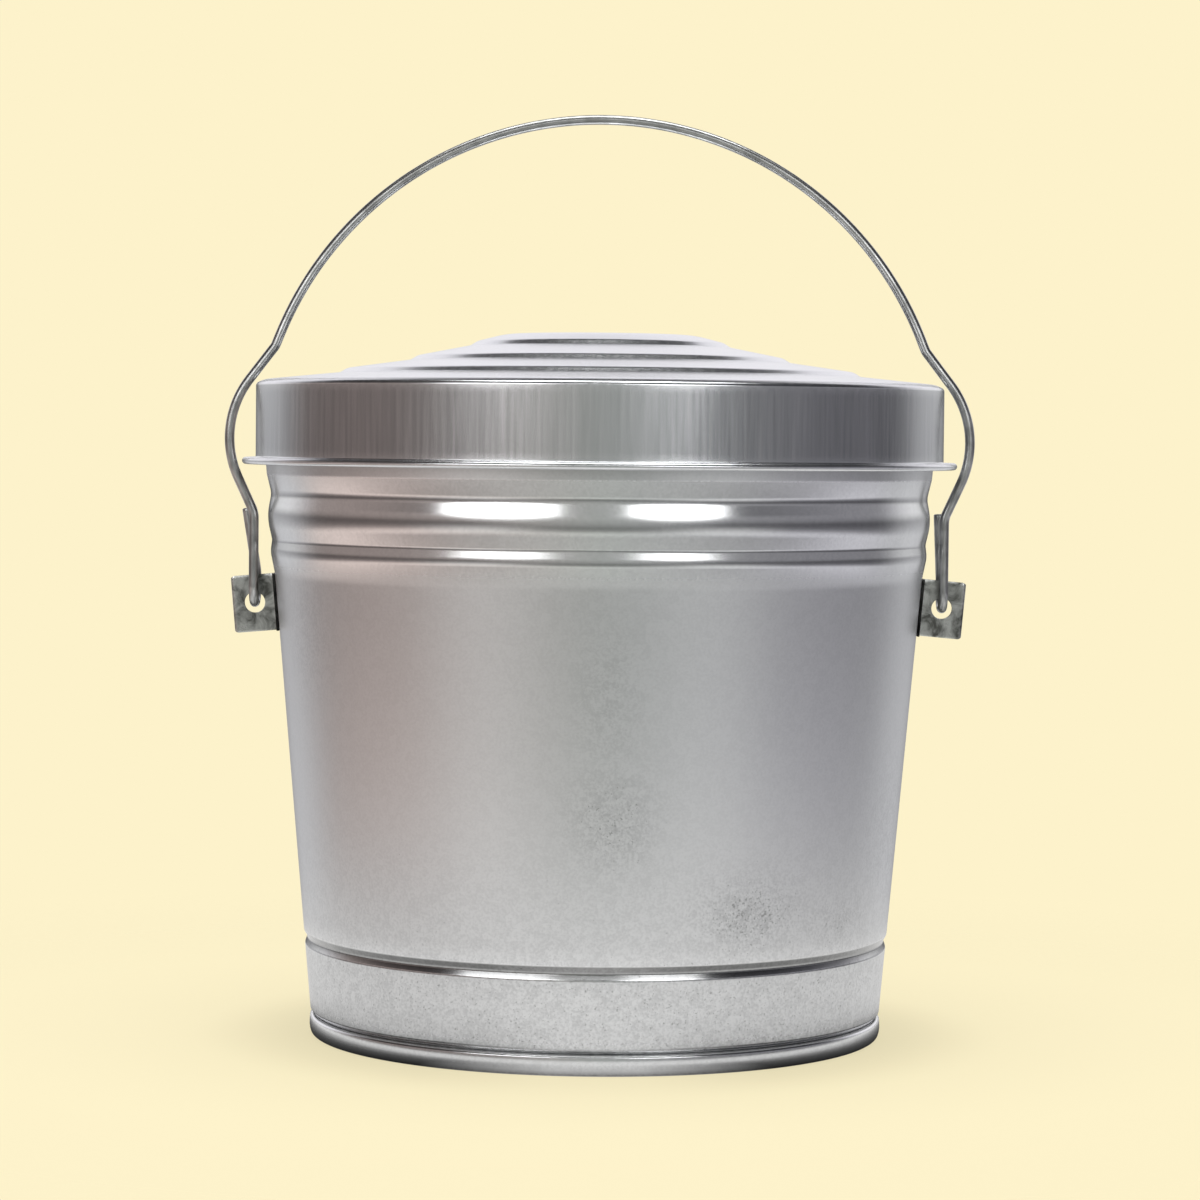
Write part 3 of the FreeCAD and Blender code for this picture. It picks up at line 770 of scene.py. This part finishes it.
# %% Bail
bail = wire_piece("galvanised_bail", bail_path, BAIL_WIRE, bail_length, closed=False)
stand_for(bail, "bail_wire", "bail")

# %% [markdown]
# ## The ears
# Each ear is a strap folded double, punched through both layers, with two feet bent along the wall. It is
# made flat first, as a grid with a round hole in each plate, then bent along its plan. A boolean could cut
# the holes, but rings of points round them stay even when bent. Solidify gives the strap its thickness, with
# its own finish on the sheared edges, which a bevel breaks.

# %% Plan of the strap
EAR_FOOT, EAR_FOOT_BEND, EAR_SEAT_GAP = 14.0, 1.3, 0.05
PLAN_STEP, PLAN_ERROR, FOOT_MARGIN, TIP_MARGIN = 0.8, 0.01, 1.2, 2.2
plate_half_gap = (EAR_STRAP + EAR_FOLD_GAP) / 2
curve_radius = ear_radius / cos(taper_angle)
foot_turn = asin((plate_half_gap + EAR_FOOT) / 2 / curve_radius)


def foot_point(across):
    """Point of a foot's middle line: on the chord of the wall, half a strap and a hair's gap out of it."""
    reach = curve_radius + EAR_SEAT_GAP + EAR_STRAP / 2 - across * sin(foot_turn)
    return (reach / cos(foot_turn) - curve_radius, across)


half_plan = [foot_point(EAR_FOOT), foot_point(plate_half_gap), (EAR_REACH - EAR_STRAP / 2, plate_half_gap)]
ear_plan = rounded_path(half_plan + [(reach, -across) for reach, across in half_plan[::-1]],
                        [EAR_FOOT_BEND, plate_half_gap, plate_half_gap, EAR_FOOT_BEND], PLAN_STEP, PLAN_ERROR)
plan_length = np.concatenate([[0], np.cumsum(step_lengths(ear_plan))])
strap_length = plan_length[-1]
near_half = slice(0, len(ear_plan) // 2)
plate_start, hole_place = np.interp([EAR_FOOT_BEND + FOOT_MARGIN, EAR_HOLE_OUT],
                                    ear_plan[near_half, 0], plan_length[near_half])
plate_end = strap_length / 2 - TIP_MARGIN
print("the flat strap is", round(strap_length, 1), "by", EAR_HEIGHT, "mm")

# %% Flat strap
PLATE_ROWS, PLATE_RINGS, RING_CROWDING = 16, 9, 1.4
FOOT_COLUMNS, TIP_COLUMNS = 26, 14


def strip(start, end, count):
    """Plain stretch of the flat strap: a grid along it and up it."""
    along, up = np.meshgrid(np.linspace(start, end, count + 1), np.linspace(0, EAR_HEIGHT, PLATE_ROWS + 1))
    return np.stack([along, up], axis=-1), grid_faces(PLATE_ROWS + 1, count + 1, False, False)


def holed_plate(start, end, hole):
    """Plate with a hole: rings that blend from the hole's circle to the plate's edge, point by point."""
    share = (np.arange(PLATE_ROWS) / PLATE_ROWS)[None, :, None]
    corners = np.array([[start, 0], [end, 0], [end, EAR_HEIGHT], [start, EAR_HEIGHT], [start, 0]])
    edge = (corners[:-1, None] + (corners[1:] - corners[:-1])[:, None] * share).reshape(-1, 2)
    centre = np.array([hole, EAR_HEIGHT - EAR_HOLE_TO_TOP])
    circle = centre + unit(edge - centre) * EAR_HOLE / 2
    blend = (np.linspace(0, 1, PLATE_RINGS + 1) ** RING_CROWDING)[:, None, None]
    return circle + (edge - circle) * blend, grid_faces(PLATE_RINGS + 1, 4 * PLATE_ROWS, False, True)


strap_patches = [
    strip(0, plate_start, FOOT_COLUMNS),
    holed_plate(plate_start, plate_end, hole_place),
    strip(plate_end, strap_length - plate_end, TIP_COLUMNS),
    holed_plate(strap_length - plate_end, strap_length - plate_start, strap_length - hole_place),
    strip(strap_length - plate_start, strap_length, FOOT_COLUMNS),
]
starts = np.cumsum([0] + [grid.size // 2 for grid, _ in strap_patches])
flat_strap = np.vstack([grid.reshape(-1, 2) for grid, _ in strap_patches])
strap_faces = np.vstack([faces + start for (_, faces), start in zip(strap_patches, starts)])
print("the flat strap has", len(strap_faces), "faces")

# %% Bent and placed ears
EAR_CORNER, EAR_SHARP_BEND, EDGE_BREAK = 1.2, 40.0, 0.18
# a corner stops just short of a full quarter, so that its last points stay apart
CORNER_SHARE = 0.999


def bent_strap(side):
    """The flat strap laid along its plan, its outer corners rounded, then stood on the wall at +X or -X."""
    reach, across = (np.interp(flat_strap[:, 0], plan_length, line) for line in ear_plan.T)
    past = np.clip(reach + EAR_STRAP / 2 - (EAR_REACH - EAR_CORNER), 0, EAR_CORNER)
    inset = EAR_CORNER - np.sqrt(EAR_CORNER ** 2 - past ** 2) * CORNER_SHARE
    up = inset + flat_strap[:, 1] * (1 - 2 * inset / EAR_HEIGHT)
    cosine, sine = cos(taper_angle), sin(taper_angle)
    out_line, up_line = np.array([side * cosine, 0, -sine]), np.array([side * sine, 0, cosine])
    seat = np.array([side * ear_radius, 0, ear_height]) - up_line * (EAR_HEIGHT - EAR_HOLE_TO_TOP)
    across_line = np.array([0, 1.0, 0])
    return seat + reach[:, None] * out_line + up[:, None] * up_line + across[:, None] * across_line


for side, label in ((-1, "left"), (1, "right")):
    ear = make_piece("strap_ear_" + label, bent_strap(side), strap_faces, [strap_finish, edge_finish],
                     sharp_bend=EAR_SHARP_BEND)
    thick = ear.modifiers.new("strap thickness", "SOLIDIFY")
    thick.thickness, thick.offset = EAR_STRAP * MM, 0.0
    thick.material_offset_rim = 1
    broken = ear.modifiers.new("broken edges", "BEVEL")
    broken.width, broken.segments = EDGE_BREAK * MM, 2
    broken.limit_method, broken.angle_limit = "ANGLE", radians(SHARP_BEND)
    stand_for(ear, label + "_ear", "can")

# %% [markdown]
# ## The floor
# A sheet of pale paper that fades into an even background, so that no horizon shows. A plain lit sheet would
# come out darker than the background, so a part of its colour glows and the rest is lit and keeps the can's
# shadow. Near the foot, where the can's own shade falls, a shadow is painted in, and the foot reflects it.

# %% Floor
BACKGROUND, PALE, PALE_ASIDE = "#fdf2cb", "#fbfaf8", "#f1f0ee"
FLOOR_SIZE, FLOOR_OPAQUE, FLOOR_FADE = 2.4, 0.30, 0.60
FLOOR_GLOW, FLOOR_LIT = 0.82, 0.26
# the painted shadow at the foot: where it starts and ends, and how deep the metal and the camera see it
CONTACT_START, CONTACT_END, CONTACT_IN_METAL, CONTACT_IN_VIEW = 0.13, 0.195, 0.95, 0.13
# metres aside: where the paper is painted duller as shade, and where painted foot shade eases in front, to a
# share
PALE_END, ASIDE_START, FRONT_END, SHADE_START, FRONT_SHADE = 0.08, 0.25, 0.02, 0.08, 0.3


def pale_floor(name):
    """Matt paper, partly glowing and partly lit, that thins out with distance so that it has no edge.

    The camera sees the background's colour and the metal sees neutral pale paper.
    """
    material, add, place = new_material(name)
    rays = add("LightPath").outputs
    in_view = rays["Is Camera Ray"]
    distance = add("VectorMath", {0: place}, operation="LENGTH")
    x = add("SeparateXYZ", {"Vector": place}).outputs["X"]
    aside = add("Math", {0: x}, operation="ABSOLUTE")

    far_aside = add("MapRange", {"Value": aside, "From Min": PALE_END, "From Max": ASIDE_START})
    pale = add("Mix", {0: far_aside, 6: linear(PALE), 7: linear(PALE_ASIDE)}, data_type="RGBA")
    colour = add("Mix", {0: in_view, 6: pale, 7: linear(BACKGROUND)}, data_type="RGBA")

    # painted shadow round the foot, deeper in what the metal sees than in the camera's view
    near_foot = add("MapRange", {"Value": in_view, "To Min": CONTACT_IN_METAL, "To Max": CONTACT_IN_VIEW})
    painted_contact_shade = add("MapRange", {"Value": distance, "From Min": CONTACT_START, "From Max": CONTACT_END,
                               "To Min": near_foot, "To Max": 0.0}, interpolation_type="SMOOTHSTEP")
    # straight in front the painted shadow is lighter, as if light reached further under the can
    shaded = add("MapRange", {"Value": aside, "From Min": FRONT_END, "From Max": SHADE_START,
                              "To Min": FRONT_SHADE})
    dark = add("Math", {0: painted_contact_shade, 1: shaded}, operation="MULTIPLY")
    bright = add("Math", {0: 1.0, 1: dark}, operation="SUBTRACT")
    glowing, lit = (add("Math", {0: bright, 1: share}, operation="MULTIPLY")
                    for share in (FLOOR_GLOW, FLOOR_LIT))

    seen = add("Math", {0: in_view, 1: rays["Is Glossy Ray"]}, operation="MAXIMUM")
    strength = add("Math", {0: seen, 1: glowing}, operation="MULTIPLY")
    glow = add("Emission", {"Color": colour, "Strength": strength})
    matt = add("VectorMath", {0: colour, "Scale": lit}, operation="SCALE")
    paper = add("BsdfDiffuse", {"Color": matt})
    ground = add("AddShader", {0: glow, 1: paper})
    fade = add("MapRange", {"Value": distance, "From Min": FLOOR_OPAQUE, "From Max": FLOOR_FADE},
               interpolation_type="SMOOTHSTEP")
    thinned = add("MixShader", {0: fade, 1: ground, 2: add("BsdfTransparent")})
    add("OutputMaterial", {"Surface": thinned})
    return material


floor_mesh = bpy.data.meshes.new("pale_floor")
floor_corners = FLOOR_SIZE / 2 * np.array([(-1, -1, 0), (1, -1, 0), (1, 1, 0), (-1, 1, 0)])
floor_mesh.from_pydata(floor_corners, [], [(0, 1, 2, 3)])
floor_mesh.materials.append(pale_floor("pale_paper"))
floor = new_object("pale_floor", floor_mesh)
print("the floor is", FLOOR_SIZE, "m wide")

# %% [markdown]
# ## The studio round the can
# Metal shows what is round it. A photographed studio picture could light the can, but a few tables of grey by
# elevation, in degrees, are easier to follow: a room, its front behind the camera, and a bright backdrop. Two
# pale boards stand low in front, to the left and right, and a dark gap at the backdrop's foot draws the rings
# in the lid's creases. The left is a little warmer than the right. The camera itself sees the plain
# background.

# %% Studio tables
STUDIO_LEVEL = 1.25
ROOM = [(-90, "#c8c8c6"), (-40, "#8a8a88"), (-30, "#848483"), (-26, "#848483"), (-21, "#a4a4a3"),
        (-17, "#e6e6e5"), (-13, "#d2d2d1"), (-10, "#929292"), (-7, "#6e6e6f"), (-3, "#585859"),
        (0, "#4c4c4d"), (5, "#8c8c8c"), (12, "#9a9a9a"), (18, "#58585a"), (23, "#39393b"), (44, "#3a3a3c"),
        (60, "#4a4a4c"), (80, "#878787")]
FRONT = [(-90, "#c8c8c6"), (-40, "#9a9a99"), (-30, "#989897"), (-26, "#a6a6a5"), (-21, "#d4d4d3"),
         (-17, "#c6c6c5"), (-13, "#747473"), (-7, "#6a6a6a"), (-2, "#949494"), (4, "#9c9c9c"),
         (12, "#a6a6a6"), (40, "#8a8a8a"), (50, "#4a4a4c"), (80, "#878787")]
BACKDROP = [(-90, "#d3d3d1"), (-22, "#d0d0d1"), (-10, "#cacacc"), (-4, "#acacae"), (0, "#98989a"),
            (4, "#d8d8d8"), (9, "#e8e6ea"), (33, "#ebe9ee"), (38, "#444446"), (66, "#363638"),
            (79, "#7f7f7f")]
BOARD_RISE = [(-36, "#000000"), (-30, "#888888"), (-25, "#888888"), (-21, "#000000"), (-16, "#aaaaaa"),
              (-9, "#aaaaaa"), (-3, "#000000")]
# shares of the way across from left to right, or back from the front, where things begin and end
BOARDS = [(0.02, "#000000"), (0.1, "#ffffff"), (0.17, "#ffffff"), (0.32, "#000000")]
SIDES = [(0.0, "#ffeae3"), (0.5, "#f6faf4"), (1.0, "#e4e2ea")]
AHEAD, BEHIND, STRAIGHT_BEHIND, BELOW_LEVEL = (0.16, 0.0), (0.68, 0.9), (0.96, 0.995), (0.535, 0.5)
BOARD_COLOUR, GAP_COLOUR = "#e6e6e4", "#1c1c1e"


def by_height(table):
    """Ramp stops from a table by elevation: half of one plus the sine of the elevation is the position."""
    return [((1 + sin(radians(elevation))) / 2, colour) for elevation, colour in table]


print("the room has", len(ROOM), "greys by elevation")

# %% Studio world
world = bpy.data.worlds.new("studio")
bpy.context.scene.world = world
world.use_nodes = True
world.node_tree.nodes.clear()
add = partial(add_node, world.node_tree)
direction = add("TexCoord").outputs["Generated"]
halves = (0.5, 0.5, 0.5)
share = add("VectorMath", {0: direction, 1: halves, 2: halves}, operation="MULTIPLY_ADD")
across, back, up = add("SeparateXYZ", {"Vector": share}).outputs
room, front, backdrop, board_rise = (add("ValToRGB", {"Fac": up}, by_height(table))
                                     for table in (ROOM, FRONT, BACKDROP, BOARD_RISE))
sides = add("ValToRGB", {"Fac": across}, SIDES)
boards = add("ValToRGB", {"Fac": back}, BOARDS)
ahead, behind, straight_behind, below_level = (
    add("MapRange", {"Value": value, "From Min": begin, "From Max": end}, interpolation_type="SMOOTHSTEP")
    for value, (begin, end) in ((back, AHEAD), (back, BEHIND), (back, STRAIGHT_BEHIND), (up, BELOW_LEVEL)))
board, gap = (add("Math", {0: first, 1: second}, operation="MULTIPLY")
              for first, second in ((boards, board_rise), (straight_behind, below_level)))
around = add("Mix", {0: ahead, 6: room, 7: front}, data_type="RGBA")
studio = add("Mix", {0: 1.0, 6: around, 7: sides}, data_type="RGBA", blend_type="MULTIPLY")
for cover, colour in ((board, linear(BOARD_COLOUR)), (behind, backdrop), (gap, linear(GAP_COLOUR))):
    studio = add("Mix", {0: cover, 6: studio, 7: colour}, data_type="RGBA")
rays = add("LightPath").outputs
seen = add("Math", {0: rays["Is Camera Ray"], 1: rays["Is Transmission Ray"]}, operation="MAXIMUM")
lit = add("Background", {"Color": studio, "Strength": STUDIO_LEVEL})
shown = add("Background", {"Color": linear(BACKGROUND), "Strength": 1.0})
sky = add("MixShader", {0: seen, 1: lit, 2: shown})
add("OutputWorld", {"Surface": sky})
print("made the studio world with", len(world.node_tree.nodes), "nodes")

# %% [markdown]
# ## Lamps
# Two oval soft boxes in front, with the camera between them, give the pairs of bright spots on the beads. A
# flat one over the camera and a large one overhead light the lid. A box's place is easier to choose by the
# angles at which the can sees it than by its distance.

# %% Soft boxes
LAMP_DISTANCE, AIM = 1.9, Vector((0, 0, 0.2))
# name, degrees round from the front and up, half width and half height in degrees, and radiance
FRONT_BOXES = [("soft_box_left", -34, 18.5, 20, 10, 2.3), ("soft_box_right", 26.5, 18.5, 16, 10, 2.3),
               ("soft_box_front", 0, 29, 14, 3, 1.6)]
OVERHEAD_PLACE, OVERHEAD_WIDTH, OVERHEAD_LENGTH, OVERHEAD_RADIANCE = Vector((0, -0.05, 1.9)), 1.5, 1.0, 4.4


def soft_box(name, place, width, height, radiance):
    """Oval soft box that faces the can. Its power is its radiance times pi times its area."""
    light = bpy.data.lights.new(name, "AREA")
    light.shape, light.size, light.size_y = "ELLIPSE", width, height
    light.energy = radiance * pi * pi / 4 * width * height
    box = new_object(name, light)
    box.location = place
    box.rotation_euler = (AIM - box.location).to_track_quat("-Z", "Y").to_euler()
    box.visible_camera = False


for name, azimuth, elevation, wide, tall, radiance in FRONT_BOXES:
    turn, rise = radians(azimuth), tan(radians(elevation))
    way = LAMP_DISTANCE * Vector((sin(turn), -cos(turn), rise))
    width, height = (2 * way.length * tan(radians(half)) for half in (wide, tall))
    soft_box(name, AIM + way, width, height, radiance)
soft_box("soft_box_overhead", OVERHEAD_PLACE, OVERHEAD_WIDTH, OVERHEAD_LENGTH, OVERHEAD_RADIANCE)
print("hung", len(bpy.data.lights), "soft boxes")

# %% [markdown]
# ## Camera
# The eye's height and distance come from the ellipses of the rim, grooves and foot: the flatter an ellipse,
# the nearer it is to the level of the eye.

# %% Camera
LENS, SENSOR, EYE_HEIGHT, EYE_DISTANCE, EYE_ASIDE = 117.0, 36.0, 0.282, 1.833, 0.0008
PITCH, ROLL = radians(2.44), radians(0.53)
camera = new_object("camera", bpy.data.cameras.new("camera"))
camera.data.lens, camera.data.sensor_width = LENS, SENSOR
camera.matrix_world = (Matrix.Translation((EYE_ASIDE, -EYE_DISTANCE, EYE_HEIGHT))
                       @ Matrix.Rotation(pi / 2 - PITCH, 4, "X") @ Matrix.Rotation(ROLL, 4, "Z"))
bpy.context.scene.camera = camera
bpy.context.scene.view_settings.view_transform = "Standard"
print("the eye is", EYE_DISTANCE, "m away and", EYE_HEIGHT, "m up")
